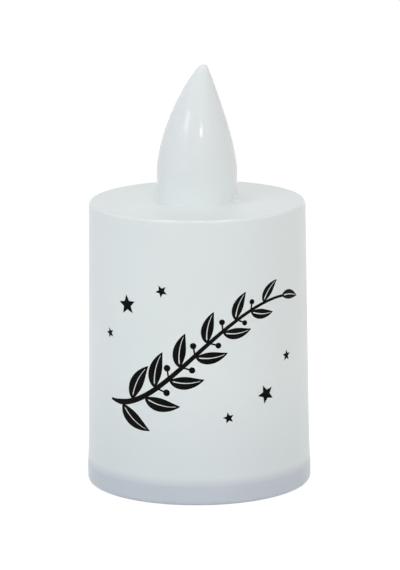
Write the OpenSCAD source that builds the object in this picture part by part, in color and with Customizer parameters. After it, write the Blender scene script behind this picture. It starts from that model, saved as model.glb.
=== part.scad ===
// LED candle: a hollow white candle body that snaps onto a round base, with a translucent flame
// lit from inside by an LED. Three button cells and a slide switch sit in the base.
// Millimetres. Origin at the centre of the foot, on the table; +Z up; the front faces -Y.

/* [Candle body] */
// Diameter of the foot, where the candle is widest
foot_d = 46; // [44:0.5:54]
// Diameter of the body under its rounded top edge
rim_d = 44.2; // [40:0.2:46]
// Height of the flat top above the table
body_h = 58.5; // [50:0.5:80]
// Wall thickness of the body
body_wall = 1.6; // [1.2:0.1:2]
// Thickness of the flat top
top_t = 1.8; // [1.4:0.1:2.6]
// Radius of the rounded top edge
rim_round = 0.7; // [0.6:0.1:2]
// Height over which the wall sweeps out to the foot
flare_h = 9; // [5:0.5:14]
// How far the wall sweeps out at the foot
flare = 0.15; // [0.1:0.05:0.6]

/* [Flame] */
// Diameter of the flame where it leaves the top
flame_d = 16.5; // [13:0.1:20]
// Height of the flame above the top
flame_h = 27.9; // [20:0.1:36]
// Height of the straight foot of the flame
flame_straight = 6.3; // [3:0.1:9]
// Height of the blunt end of the tip
flame_tip = 0.7; // [0.4:0.1:1.2]
// Sideways lean of the tip
flame_lean = 1.5; // [0:0.1:3]
// Wall thickness at the foot of the flame
flame_wall = 1.2; // [0.9:0.1:1.8]
// Solid length at the tip
flame_solid = 5; // [3:0.5:8]
// Width of the flange that holds the flame under the top
flange_w = 1.8; // [1.2:0.1:2.6]
// Thickness of that flange
flange_t = 1.4; // [1:0.1:2]

/* [Flame retainer] */
// Thickness of the retainer disc
retainer_t = 2.4; // [1.8:0.1:3.4]
// Wall of the collar round the retainer
collar_wall = 1.4; // [1:0.1:2]
// Height of the LED post above the disc
post_h = 5; // [3:0.2:7]
// Wall of the LED post
post_wall = 1.6; // [1.2:0.1:2]
// Depth of the LED flange below the end of the post
led_depth = 2; // [1:0.1:2.8]
// Height of the gussets that brace the post
gusset_h = 3; // [2:0.1:4]
// Thickness of those gussets
gusset_t = 1; // [0.8:0.1:1.4]

/* [LED] */
// Diameter of the LED lens
led_d = 5; // [3:0.1:5.4]
// Length of the LED lens from flange to dome
led_l = 8.6; // [7:0.1:9.5]
// Diameter of the LED flange
led_flange_d = 5.8; // [5.6:0.1:6.4]
// Thickness of the LED flange
led_flange_t = 1; // [0.8:0.1:1.4]
// Side of a square LED lead
lead_side = 0.5; // [0.4:0.05:0.6]
// Spacing of the LED leads
lead_pitch = 2.54; // [2.3:0.02:2.8]
// Length of the LED leads below the flange
lead_l = 9; // [7:0.5:14]

/* [Base cap] */
// Height of the band that shows under the body
band_h = 4; // [3.8:0.1:6]
// Step from the band in to the body
band_step = 0.05; // [0.05:0.05:0.3]
// Radius of the rounded lower edge
foot_round = 1; // [0.3:0.1:1.2]
// Width of the ring that the candle stands on
foot_w = 2.6; // [1.8:0.1:3.4]
// Depth of the floor above the table
recess_d = 1.6; // [1.2:0.1:2]
// Thickness of the floor
floor_t = 1.8; // [1.6:0.1:2]
// Height of the spigot above the band
spigot_h = 6; // [4:0.5:9]
// Wall of the spigot
spigot_wall = 1.4; // [1:0.1:1.8]
// Height of the snap bead above the band
bead_z = 3.4; // [2:0.1:3.6]
// Radius of the snap beads
bead_r = 0.5; // [0.4:0.05:0.6]
// How far the snap beads stand proud
bead_proud = 0.25; // [0.15:0.05:0.3]
// Width of the slots that let the spigot flex
flex_slot_w = 1.2; // [0.8:0.1:1.6]

/* [Battery bay] */
// Diameter of a button cell
cell_d = 11.6; // [9.4:0.1:12.4]
// Thickness of a button cell
cell_h = 5.4; // [4.8:0.1:5.6]
// Length of the compressed spring
spring_l = 3.2; // [2.6:0.1:4]
// Wire diameter of the spring
spring_wire = 0.5; // [0.4:0.05:0.6]
// Thickness of the contact plates
contact_t = 0.4; // [0.3:0.05:0.5]
// Width of the contact plates
contact_w = 7; // [5:0.2:8]
// Width of their solder tails
tail_w = 3; // [2.4:0.1:3.6]
// Height of the tails above the bay
tail_h = 2; // [1.8:0.1:3]
// Wall of the bay
bay_wall = 1.2; // [1:0.1:1.5]
// Play round the cells
bay_play = 0.2; // [0.1:0.05:0.35]
// Distance of the bay in front of the axis
bay_offset = 5; // [4.4:0.2:5.6]

/* [Battery door] */
// Thickness of the outer skin of the door
door_skin = 0.8; // [0.6:0.1:0.9]
// Width of the ledge that the door closes on
door_ledge = 1; // [0.8:0.1:1.2]
// Gap round the door
door_gap = 0.15; // [0.1:0.01:0.25]
// Width of each hinge tab
tab_w = 3; // [2:0.1:3.2]
// Reach of the hinge tabs past the door
tab_reach = 1.25; // [0.9:0.05:1.4]
// Width of the thumb pad
pad_w = 6; // [4:0.2:8]
// Reach of the thumb pad
pad_reach = 1.5; // [1.2:0.1:1.8]
// Thickness of the ribs inside the door
door_rib = 0.8; // [0.6:0.1:1]

/* [Switch] */
// Travel of the switch
travel = 2; // [1.6:0.1:2.2]
// Length of the button that shows
button_l = 4.9; // [4:0.1:5.2]
// Width of the button that shows
button_w = 3.6; // [3:0.1:4.2]
// Height of the button end above the table
button_rise = 0.7; // [0.4:0.1:1]
// Thickness of the button flange inside the floor
button_flange_t = 0.8; // [0.6:0.1:1]
// Overlap of the button flange past the slot
button_lap = 0.4; // [0.3:0.05:0.5]
// Length of the switch frame
frame_l = 8.6; // [8.4:0.1:9.2]
// Width of the switch frame
frame_w = 3.7; // [3.5:0.1:4.2]
// Height of the switch frame
frame_h = 3.4; // [3.3:0.1:4]
// Sheet thickness of the switch frame
frame_t = 0.3; // [0.2:0.05:0.35]
// Side of the square lever
lever_side = 1.5; // [1.2:0.1:1.7]
// Thickness of the terminal plate
terminal_t = 0.8; // [0.6:0.1:0.9]
// Spacing of the switch pins
pin_pitch = 2.54; // [2.4:0.02:2.6]
// Side of a square switch pin
pin_side = 0.5; // [0.4:0.05:0.6]

/* [Circuit board] */
// Length of the board
board_l = 22; // [21.5:0.5:26]
// Width of the board
board_w = 10; // [9.4:0.2:10.6]
// Thickness of the board
board_t = 1.2; // [1:0.1:1.6]
// Gap from the bay to the board
board_gap = 3; // [2.6:0.1:3.2]
// Distance between the two board screws
screw_pitch = 17; // [16.4:0.2:17.4]
// Shank diameter of the board screws
screw_d = 1.8; // [1.4:0.1:2]
// Head diameter of the board screws
screw_head_d = 3.6; // [3:0.1:3.8]
// Head height of the board screws
screw_head_h = 1.2; // [0.9:0.1:1.6]
// Length of the screw shank
screw_l = 5; // [4:0.2:5.6]
// Diameter of the board posts
post_d = 4.2; // [3.6:0.1:4.4]
// Diameter of the resistor body
resistor_d = 1.7; // [1.4:0.1:2]
// Length of the resistor body
resistor_l = 3.8; // [3:0.1:4.4]
// Spacing of the resistor leads
resistor_pitch = 7.6; // [6.6:0.1:8]
// Diameter of the resistor leads
resistor_lead_d = 0.5; // [0.4:0.05:0.6]

/* [Wiring] */
// Outside diameter of a wire
wire_d = 1.2; // [0.8:0.1:1.3]
// Length of the shrink sleeves over the LED joints
sleeve_l = 9; // [6:0.5:12]
// Wall of the shrink sleeves
sleeve_wall = 0.2; // [0.15:0.05:0.25]
// Distance between the LED wires on the board
led_pad_pitch = 10; // [8:0.2:11]
// Distance between the battery wires on the board
cell_pad_pitch = 19; // [17.4:0.2:19.6]

/* [Hidden] */
$fn = 96;
cell_count = 3;

// Clearances, and the overlap that makes cuts and joins clean
fit_gap = 0.1;
slide_gap = 0.05;
snug_gap = 0.02;
lap = 0.5;

// Body shell
foot_r = foot_d / 2;
rim_r = rim_d / 2;
seat_r = foot_r - band_step;
wall_foot_r = seat_r - flare;
bore_r = wall_foot_r - body_wall;
bore_top = band_h + spigot_h + lap;
top_under = body_h - top_t;
draft = (wall_foot_r - rim_r) / (body_h - band_h);
rim_z = body_h - rim_round;
flare_steps = 6;

// Flame and what holds it. The outline swells by a power law that fits a candle flame.
hole_r = flame_d / 2 + fit_gap;
flange_r = hole_r + flange_w;
flange_z = top_under - flange_t;
collar_r = flange_r + fit_gap;
retainer_z = flange_z - retainer_t;
collar_bead_z = retainer_z - bead_r - slide_gap;
collar_z = collar_bead_z - 2 * bead_r;
flame_reach = flame_h + 1;
flame_belly = 1.5;
flame_taper = 0.9;
flame_hook = 3.8;
flame_sides = 48;
flame_rings = 14;
tip_rings = 3;
cavity_rings = 12;
gusset_count = 3;
gusset_r = flame_d / 2 - flame_wall - 2 * fit_gap;

// LED in its post
led_flange_top = flange_z + post_h - led_depth;
led_z = led_flange_top - led_flange_t;
led_bore_r = led_d / 2 + slide_gap;
led_seat_r = led_flange_d / 2 + slide_gap;
post_r = led_seat_r + post_wall;
lead_end_z = led_z - lead_l;
lead_sink = 3;
anvil = [1.3, 0.9, 1.4];
flange_flat = 0.4;
sleeve_z = lead_end_z - sleeve_l / 2;

// Base cap
recess_r = foot_r - foot_w;
floor_top = recess_d + floor_t;
spigot_r = bore_r - fit_gap;
spigot_in_r = spigot_r - spigot_wall;
spigot_top = band_h + spigot_h;
bead_centre_r = spigot_r + bead_proud - bead_r;
foot_chamfer = 0.4;
flex_slot_count = 6;
flex_slot_z = band_h + 1;

// Battery bay: the cells lie in a row along X, with the spring at the -X end
cell_r = cell_d / 2;
end_play = 0.1;
bay_l = cell_count * cell_h + spring_l + 2 * contact_t + 2 * end_play;
bay_w = cell_d + 2 * bay_play;
bay_y = -bay_offset;
cell_z = floor_top + bay_play + cell_r;
bay_top = cell_z + bay_w / 2 + bay_wall;
bay_back = bay_y + bay_w / 2 + bay_wall;
spring_x = -bay_l / 2 + contact_t + snug_gap;
cell_x = -bay_l / 2 + contact_t + spring_l + end_play;
contact_lift = 0.9;
contact_z = floor_top + contact_lift;
shoulder_gap = 0.3;
contact_shoulder = cell_z + bay_w / 2 * cos(asin(contact_w / bay_w)) - shoulder_gap;
tail_top = bay_top + tail_h;
spring_turns = 3;
spring_foot_r = 3.2;
spring_end_r = 1.9;
turn_rings = 14;
crimp_w = 0.7;
gasket_w = 0.4;
cell_crimp_r = cell_r - crimp_w;
cell_cap_r = cell_crimp_r - gasket_w;
cell_lip = 0.2;
cell_edge = 0.35;
dimple_r = 1.2;

// Battery door: two tabs hook over the floor at the -X end, and a thumb pad opens the other end
door_l = bay_l + 2 * door_ledge - 2 * door_gap;
door_w = bay_w + 2 * door_ledge - 2 * door_gap;
plug_l = bay_l - 2 * door_gap;
plug_w = bay_w - 2 * door_gap;
door_corner = 0.8;
tab_inset = 0.4;
tab_y = bay_w / 2 - tab_w / 2 - tab_inset;
tab_z = recess_d + door_skin + fit_gap;
tab_t = floor_top - tab_z - fit_gap;
tab_play = 0.2;
window_h = 0.8;
nib_w = 4;
nib_proud = 0.06;
scoop_r = 6;
scoop_depth = 0.9;
pad_groove_count = 2;
pad_groove_pitch = 0.55;
pad_groove_w = 0.25;
opening_l = bay_l + 2 * door_ledge;
opening_w = bay_w + 2 * door_ledge;
opening_top = recess_d + door_skin + slide_gap;
grip_count = 3;
grip_pitch = 1.1;
grip_w = 0.5;
grip_h = 0.3;

// Switch, from the button in the floor up to the board. At rest the lever is at its -X end.
rest_x = -travel / 2;
slot_l = button_l + travel + 2 * fit_gap;
slot_w = button_w + 2 * fit_gap;
button_flange_l = slot_l + travel + 2 * button_lap;
button_flange_w = slot_w + 2 * button_lap;
button_flange_z = floor_top + slide_gap;
button_flange_top = button_flange_z + button_flange_t;
frame_gap = 0.25;
frame_z = button_flange_top + frame_gap;
frame_top = frame_z + frame_h;
frame_in_l = frame_l - 2 * frame_t;
frame_in_w = frame_w - 2 * frame_t;
terminal_z = frame_top - terminal_t;
stop_gap = 0.2;
carriage_l = frame_in_l - travel - 2 * stop_gap;
carriage_w = frame_in_w - 2 * slide_gap;
carriage_z = frame_z + frame_t + slide_gap;
carriage_h = 1.2;
lever_sink = 0.5;
lever_end = floor_top - lever_sink;
pocket_gap = 0.3;
pocket_floor = lever_end - pocket_gap;
rail_w = 0.8;
well_depth = 0.5;
well_margin = 1.1;
well_l = slot_l + 2 * well_margin;
well_w = slot_w + 2 * well_margin;
pin_count = 3;
wiper_t = 0.2;
wiper_w = 1.6;
wiper_z = carriage_z + carriage_h + snug_gap;
wiper_h = terminal_z - wiper_z - slide_gap;

// Circuit board on its two posts
board_lift = 0.3;
board_z = frame_top + board_lift;
board_top = board_z + board_t;
board_y = bay_back + board_gap + board_w / 2;
board_corner = 1;
board_margin = 0.4;
board_r = spigot_in_r - board_margin;
pin_proud = 1.2;
pin_top = board_top + pin_proud;
pin_hole_r = 0.45;
frame_tab_l = 0.9;
frame_tab_x = frame_l / 2 - frame_t;
pilot_r = screw_d / 2 + snug_gap;
cross_l = 1.8;
cross_w = 0.5;
cross_d = 0.6;
resistor_offset = 3.2;
resistor_y = board_y + resistor_offset;
resistor_lift = 0.2;
resistor_z = board_top + resistor_d / 2 + resistor_lift;
resistor_hole_r = resistor_lead_d / 2 + fit_gap;
collar_l = 0.8;
collar_swell = 0.12;
wire_inset = 1.7;
wire_y = bay_back + board_gap + wire_inset;

// Wires: eight-sided tubes with straight stubs at both ends
wire_sides = 8;
wire_steps = 14;
wire_stub = 1.5;
sleeve_bore_r = wire_d / 2 + fit_gap;
led_wire_slack = 12;
cell_wire_slack = 6;
cell_wire_z = bay_top + tail_h / 2 + fit_gap;

// Vectors, curves and swept tubes

function unit(v) = v / norm(v);

function bezier(p, t) =
    pow(1 - t, 3) * p[0] + 3 * pow(1 - t, 2) * t * p[1] + 3 * (1 - t) * t * t * p[2] + pow(t, 3) * p[3];

function tangent(path, i) =
    let (last = len(path) - 1)
    unit(path[min(i + 1, last)] - path[max(i - 1, 0)]);

function across(t) = unit(cross(abs(t.z) < 0.9 ? [0, 0, 1] : [1, 0, 0], t));

function square_to(u, t) = unit(u - (u * t) * t);

// One side vector per point, carried along the path without twist
function side_vectors(path) = [
    for (i = 0, u = across(tangent(path, 0));
         i < len(path);
         i = i + 1, u = i < len(path) ? square_to(u, tangent(path, i)) : u) u
];

// Two triangles between neighbouring rings of n points; rings wrap to count
function band_faces(n, ring, next) = [
    for (k = [0:n - 1])
        let (a = ring * n + k, b = ring * n + (k + 1) % n, c = next * n + (k + 1) % n, d = next * n + k)
        each [[a, d, c], [a, c, b]]
];

module tube_along(path, r, sides = wire_sides) {
    u = side_vectors(path);
    last = len(path) - 1;
    points = [
        for (i = [0:last], k = [0:sides - 1])
            let (angle = 360 * k / sides, v = cross(tangent(path, i), u[i]))
            path[i] + r * (cos(angle) * u[i] + sin(angle) * v)
    ];
    skin = [for (i = [0:last - 1]) each band_faces(sides, i, i + 1)];
    start_cap = [for (k = [0:sides - 1]) k];
    end_cap = [for (k = [sides - 1:-1:0]) last * sides + k];
    polyhedron(points, concat(skin, [start_cap, end_cap]));
}

// A wire that leaves start along out and arrives at finish along in, with a straight stub at each end
function wire_route(start, out, finish, in, stub_out, stub_in, slack) =
    let (a = start + stub_out * out, b = finish - stub_in * in)
    concat(
        [start],
        [for (i = [0:wire_steps]) bezier([a, a + slack * out, b - slack * in, b], i / wire_steps)],
        [finish]
    );

// Flat shapes

module rounded_rect(l, w, r) {
    square([l - 2 * r, w], center = true);
    square([l, w - 2 * r], center = true);
    for (x = [-1, 1], y = [-1, 1])
        translate([x * (l / 2 - r), y * (w / 2 - r)]) circle(r);
}

module slab(l, w, z_low, z_high, r) {
    translate([0, 0, z_low]) linear_extrude(z_high - z_low) rounded_rect(l, w, r);
}

module block(size_x, size_y, z_low, z_high) {
    translate([-size_x / 2, -size_y / 2, z_low]) cube([size_x, size_y, z_high - z_low]);
}

// Body shell: drafted wall, flared foot, rounded rim and an inner collar for the flame

function wall_r(z) =
    let (reach = max(0, band_h + flare_h - z) / flare_h)
    rim_r + draft * (body_h - z) + flare * reach * reach;

module body_outline() {
    slope = atan(draft);
    rim_centre = wall_r(rim_z) - rim_round / cos(slope);
    tangent_z = rim_z + rim_round * sin(slope);
    polygon(concat(
        [[0, band_h]],
        [for (i = [0:flare_steps]) let (z = band_h + flare_h * i / flare_steps) [wall_r(z), z]],
        [[wall_r(tangent_z), tangent_z], [rim_centre, body_h], [0, body_h]]
    ));
    translate([rim_centre, rim_z]) circle(rim_round);
}

module body_cavity() {
    polygon([
        [0, band_h - lap], [bore_r, band_h - lap], [bore_r, bore_top],
        [rim_r - body_wall, top_under], [0, top_under]
    ]);
    translate([bead_centre_r, band_h + bead_z]) circle(bead_r + fit_gap);
}

module collar_outline() {
    translate([collar_r, collar_z]) square([collar_wall, top_under - collar_z + lap]);
    intersection() {
        translate([collar_r + bead_r - bead_proud, collar_bead_z]) circle(bead_r);
        translate([collar_r - bead_r, collar_bead_z - bead_r]) square([bead_r + lap, 2 * bead_r]);
    }
}

module candle_body() {
    color("#eef2f3") difference() {
        union() {
            difference() {
                rotate_extrude() body_outline();
                rotate_extrude() body_cavity();
            }
            rotate_extrude() collar_outline();
        }
        translate([0, 0, top_under - lap]) cylinder(h = top_t + 2 * lap, r = hole_r);
    }
}

// Flame: a hollow leaning teardrop with a flange under the top

function flame_swell(h, reach) =
    let (u = max(0, h - flame_straight) / (reach - flame_straight))
    pow(1 - pow(min(u, 1), flame_belly), flame_taper);

function flame_shift(h) = flame_lean * pow(max(h, 0) / flame_h, flame_hook);

// Rings are [radius, height above the top], each level shifted sideways by the lean
function flame_outer() =
    let (r = flame_d / 2, join = flame_h - flame_tip, join_r = r * flame_swell(join, flame_reach))
    concat(
        [[flange_r, -top_t - flange_t], [flange_r, -top_t], [r, -top_t], [r, 0]],
        [for (i = [0:flame_rings])
            let (h = flame_straight + (join - flame_straight) * sin(90 * i / flame_rings))
            [r * flame_swell(h, flame_reach), h]],
        [for (i = [1:tip_rings])
            let (a = 90 * i / (tip_rings + 1))
            [join_r * cos(a), join + flame_tip * sin(a)]]
    );

function flame_cavity() =
    let (r = flame_d / 2 - flame_wall, reach = flame_h - flame_solid)
    concat(
        [for (i = [cavity_rings - 1:-1:0])
            let (h = flame_straight + (reach - flame_straight) * sin(90 * i / cavity_rings))
            [r * flame_swell(h, reach), h]],
        [[r, -top_t - flange_t]]
    );

module flame() {
    outer = flame_outer();
    inner = flame_cavity();
    levels = concat(outer, inner);
    rings = len(levels);
    points = [
        for (level = levels, k = [0:flame_sides - 1])
            let (a = 360 * k / flame_sides)
            [flame_shift(level[1]) + level[0] * cos(a), level[0] * sin(a), body_h + level[1]]
    ];
    tips = [for (h = [flame_h, flame_h - flame_solid]) [flame_shift(h), 0, body_h + h]];
    outer_tip = len(points);
    inner_tip = outer_tip + 1;
    top_ring = (len(outer) - 1) * flame_sides;
    roof_ring = len(outer) * flame_sides;
    skin = [
        for (i = [0:rings - 1])
            if (i != len(outer) - 1) each band_faces(flame_sides, i, (i + 1) % rings)
    ];
    caps = [
        for (k = [0:flame_sides - 1])
            let (next = (k + 1) % flame_sides)
            each [[top_ring + k, outer_tip, top_ring + next], [inner_tip, roof_ring + k, roof_ring + next]]
    ];
    color("#e6eceb") polyhedron(concat(points, tips), concat(skin, caps));
}

// Retainer: clicks into the collar, holds the flame's flange up and carries the LED on a post

// A triangular brace between the disc and the post
module gusset() {
    translate([0, gusset_t / 2, flange_z]) rotate([90, 0, 0]) linear_extrude(gusset_t) polygon([
        [led_seat_r, -lap], [gusset_r, -lap], [gusset_r, 0], [post_r, gusset_h], [led_seat_r, gusset_h]
    ]);
}

module flame_retainer() {
    color("#f4f4f0") difference() {
        union() {
            translate([0, 0, retainer_z]) cylinder(h = retainer_t, r = flange_r);
            translate([0, 0, retainer_z]) cylinder(h = retainer_t + post_h, r = post_r);
            for (i = [0:gusset_count - 1]) rotate(360 * i / gusset_count) gusset();
        }
        translate([0, 0, retainer_z - lap]) cylinder(h = led_flange_top - retainer_z + lap, r = led_seat_r);
        translate([0, 0, led_flange_top - lap]) cylinder(h = led_depth + 2 * lap, r = led_bore_r);
    }
}

// LED: domed lens with a flat on its flange, and two square leads cast into it

module lead_pair(grow = 0) {
    sunk_end = led_z + lead_sink;
    for (x = [-1, 1])
        translate([x * lead_pitch / 2, 0, 0])
            block(lead_side + 2 * grow, lead_side + 2 * grow, lead_end_z, sunk_end);
    translate([-lead_pitch / 2 + (anvil.x - lead_side) / 2, 0, 0])
        block(anvil.x + 2 * grow, anvil.y + 2 * grow, sunk_end - lap, sunk_end + anvil.z + grow);
}

module led_lens() {
    dome_z = led_z + led_l - led_d / 2;
    color("#f6e7b8") difference() {
        union() {
            translate([0, 0, led_z]) cylinder(h = led_flange_t, d = led_flange_d);
            translate([0, 0, led_z]) cylinder(h = dome_z - led_z, d = led_d);
            intersection() {
                translate([0, 0, dome_z]) sphere(d = led_d);
                translate([0, 0, dome_z]) cylinder(h = led_d, d = led_d + 2 * lap);
            }
        }
        translate([-led_flange_d / 2 - lap, -led_flange_d, led_z - lap])
            cube([flange_flat + lap, 2 * led_flange_d, led_flange_t + 2 * lap]);
        lead_pair(snug_gap);
    }
}

module led_leads() {
    color("silver") lead_pair();
}

module lead_sleeves() {
    color("#1f1f22") for (x = [-1, 1])
        translate([x * lead_pitch / 2, 0, sleeve_z]) difference() {
            cylinder(h = sleeve_l, r = sleeve_bore_r + sleeve_wall);
            translate([0, 0, -lap]) cylinder(h = sleeve_l + 2 * lap, r = sleeve_bore_r);
        }
}

module led_wire(side) {
    pad = [side * led_pad_pitch / 2, wire_y, board_top];
    joint = [side * lead_pitch / 2, 0, lead_end_z];
    up = [0, 0, 1];
    path = wire_route(pad, up, joint, up, wire_stub, sleeve_l / 2 + wire_stub, led_wire_slack);
    tube_along(path, wire_d / 2);
}

module led_wire_red() {
    color("#c0271d") led_wire(1);
}

module led_wire_black() {
    color("#202022") led_wire(-1);
}

// Base cap: foot ring, floor, snap spigot, battery bay, board posts and button rails

module base_outline() {
    polygon([
        [0, recess_d], [recess_r, recess_d], [recess_r, foot_chamfer], [recess_r + foot_chamfer, 0],
        [foot_r - foot_round, 0], [foot_r, foot_round], [foot_r, band_h],
        [spigot_r, band_h], [spigot_r, spigot_top], [spigot_in_r, spigot_top],
        [spigot_in_r, floor_top], [0, floor_top]
    ]);
    translate([foot_r - foot_round, foot_round]) circle(foot_round);
    translate([bead_centre_r, band_h + bead_z]) circle(bead_r);
}

// A tunnel over the cells: straight sides and a round roof, along X
module bay_tunnel(l, half_w, z_low) {
    translate([-l / 2, bay_y, 0]) rotate([90, 0, 90]) linear_extrude(l) {
        translate([-half_w, z_low]) square([2 * half_w, cell_z - z_low]);
        translate([0, cell_z]) circle(half_w);
    }
}

module board_post(x) {
    translate([x, board_y, floor_top - lap]) cylinder(h = board_z - floor_top + lap, d = post_d);
}

module button_rail(side) {
    translate([0, board_y + side * (button_flange_w / 2 + slide_gap + rail_w / 2), 0])
        block(slot_l, rail_w, floor_top - lap, button_flange_top);
}

// Where the door goes: its skin, its plug, its tabs and the room that the tabs need to swing
module door_opening() {
    tab_end = -door_l / 2 - tab_reach - tab_play;
    pad_end = door_l / 2 + pad_reach + door_gap;
    translate([0, bay_y, 0]) {
        slab(opening_l, opening_w, recess_d - lap, opening_top, door_corner);
        block(bay_l, bay_w, recess_d - lap, floor_top + lap);
        for (y = [-1, 1]) translate([tab_end, y * tab_y - tab_w / 2 - tab_play, tab_z - fit_gap])
            cube([-bay_l / 2 + lap - tab_end, tab_w + 2 * tab_play, floor_top + window_h - tab_z + fit_gap]);
        translate([0, -pad_w / 2 - door_gap, recess_d - lap])
            cube([pad_end, pad_w + 2 * door_gap, opening_top - recess_d + lap]);
        translate([pad_end, pad_w / 2, recess_d + scoop_depth - scoop_r])
            rotate([90, 0, 0]) cylinder(h = pad_w, r = scoop_r);
    }
}

module tail_slot(x_low) {
    translate([x_low, bay_y - tail_w / 2 - fit_gap, cell_z])
        cube([contact_t + snug_gap, tail_w + 2 * fit_gap, bay_top - cell_z + lap]);
}

module base_cap() {
    color("#e9edf0") difference() {
        union() {
            rotate_extrude() base_outline();
            bay_tunnel(bay_l + 2 * bay_wall, bay_w / 2 + bay_wall, floor_top - lap);
            for (side = [-1, 1]) {
                board_post(side * screw_pitch / 2);
                button_rail(side);
            }
        }
        bay_tunnel(bay_l, bay_w / 2, floor_top - lap);
        door_opening();
        tail_slot(-bay_l / 2);
        tail_slot(bay_l / 2 - contact_t - snug_gap);
        translate([0, board_y, 0]) {
            block(slot_l, slot_w, recess_d - lap, floor_top + lap);
            slab(well_l, well_w, recess_d - lap, recess_d + well_depth, well_margin);
        }
        for (side = [-1, 1])
            translate([side * screw_pitch / 2, board_y, board_top - screw_l - fit_gap])
                cylinder(h = screw_l + lap, r = pilot_r);
        for (i = [0:flex_slot_count - 1]) rotate(360 * i / flex_slot_count)
            translate([spigot_in_r - lap, -flex_slot_w / 2, flex_slot_z])
                cube([spigot_wall + bead_proud + 2 * lap, flex_slot_w, spigot_top - flex_slot_z + lap]);
    }
}

// Battery door: skin, ribbed plug, two hinge tabs, a latch nib and a grooved thumb pad

module door_plug() {
    pocket_l = (plug_l - (cell_count + 1) * door_rib) / cell_count;
    pocket_w = plug_w - 2 * door_rib;
    difference() {
        slab(plug_l, plug_w, recess_d + door_skin - fit_gap, floor_top, door_corner);
        for (i = [0:cell_count - 1])
            translate([(i - (cell_count - 1) / 2) * (pocket_l + door_rib), 0, 0])
                block(pocket_l, pocket_w, recess_d + door_skin, floor_top + lap);
    }
}

module thumb_pad() {
    pad_end = door_l / 2 + pad_reach;
    difference() {
        translate([door_l / 2 - lap, -pad_w / 2, recess_d]) cube([pad_reach + lap, pad_w, door_skin]);
        for (i = [1:pad_groove_count])
            translate([pad_end - i * pad_groove_pitch, -pad_w / 2 - lap, recess_d - lap])
                cube([pad_groove_w, pad_w + 2 * lap, grip_h + lap]);
    }
}

module battery_door() {
    tab_end = -door_l / 2 - tab_reach;
    color("#e4e8ea") translate([0, bay_y, 0]) {
        slab(door_l, door_w, recess_d, recess_d + door_skin, door_corner - door_gap);
        door_plug();
        for (y = [-1, 1]) translate([tab_end, y * tab_y - tab_w / 2, tab_z])
            cube([-plug_l / 2 + door_rib / 2 - tab_end, tab_w, tab_t]);
        translate([plug_l / 2 - door_rib / 2, -nib_w / 2, floor_top - tab_t])
            cube([nib_proud + door_rib / 2, nib_w, tab_t / 2]);
        thumb_pad();
    }
}

// Button cells, each with its cap towards the spring, and the contacts at the two ends of the row

module button_cell(i) {
    place = [cell_x + (i - 1) * cell_h, bay_y, cell_z];
    color("#c9ccce") translate(place) rotate([0, 90, 0]) rotate_extrude() polygon([
        [0, 0], [cell_cap_r, 0], [cell_cap_r, 2 * cell_lip], [cell_crimp_r, 2 * cell_lip],
        [cell_crimp_r, cell_lip], [cell_r - cell_edge, cell_lip], [cell_r, cell_lip + cell_edge],
        [cell_r, cell_h - cell_edge], [cell_r - cell_edge, cell_h], [0, cell_h]
    ]);
}

module cell_spring() {
    rings = spring_turns * turn_rings;
    coil_l = spring_l - spring_wire - 2 * snug_gap;
    path = [
        for (i = [0:rings])
            let (
                t = i / rings,
                a = 360 * spring_turns * t,
                r = spring_foot_r + (spring_end_r - spring_foot_r) * t
            )
            [spring_x + spring_wire / 2 + coil_l * t, bay_y + r * cos(a), cell_z + r * sin(a)]
    ];
    color("silver") tube_along(path, spring_wire / 2);
}

// A contact plate that stands in the end of the bay, with a narrow tail up through the roof
module contact_plate(x_low) {
    translate([x_low, bay_y, 0]) rotate([90, 0, 90]) linear_extrude(contact_t) {
        translate([-contact_w / 2, contact_z]) square([contact_w, contact_shoulder - contact_z]);
        translate([-tail_w / 2, contact_z]) square([tail_w, tail_top - contact_z]);
    }
}

module negative_contact() {
    color("#d2d4d6") contact_plate(-bay_l / 2);
}

module positive_contact() {
    plate_x = bay_l / 2 - contact_t;
    dome_r = (dimple_r * dimple_r + end_play * end_play) / (2 * end_play);
    color("#d2d4d6") union() {
        contact_plate(plate_x);
        intersection() {
            translate([plate_x - end_play + dome_r + snug_gap, bay_y, cell_z]) sphere(dome_r);
            translate([plate_x - end_play, bay_y, cell_z]) rotate([0, 90, 0])
                cylinder(h = end_play + contact_t / 2, r = 2 * dimple_r);
        }
    }
}

module battery_wire(side) {
    start = [side * bay_l / 2, bay_y, cell_wire_z];
    pad = [side * cell_pad_pitch / 2, wire_y, board_top];
    path = wire_route(start, [side, 0, 0], pad, [0, 0, -1], wire_stub, wire_stub, cell_wire_slack);
    tube_along(path, wire_d / 2);
}

module battery_wire_red() {
    color("#c0271d") battery_wire(1);
}

module battery_wire_black() {
    color("#202022") battery_wire(-1);
}

// Circuit board, its resistor and its two screws

module circuit_board() {
    color("#3f7d4e") translate([0, 0, board_z]) linear_extrude(board_t) difference() {
        intersection() {
            translate([0, board_y]) rounded_rect(board_l, board_w, board_corner);
            circle(board_r);
        }
        for (i = [0:pin_count - 1]) translate([(i - 1) * pin_pitch, board_y]) circle(pin_hole_r);
        for (side = [-1, 1]) {
            translate([side * screw_pitch / 2, board_y]) circle(screw_d / 2 + fit_gap);
            translate([side * resistor_pitch / 2, resistor_y]) circle(resistor_hole_r);
            translate([side * (frame_tab_x + frame_t / 2), board_y])
                square([frame_t + 2 * fit_gap, frame_tab_l + 2 * fit_gap], center = true);
        }
    }
}

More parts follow.
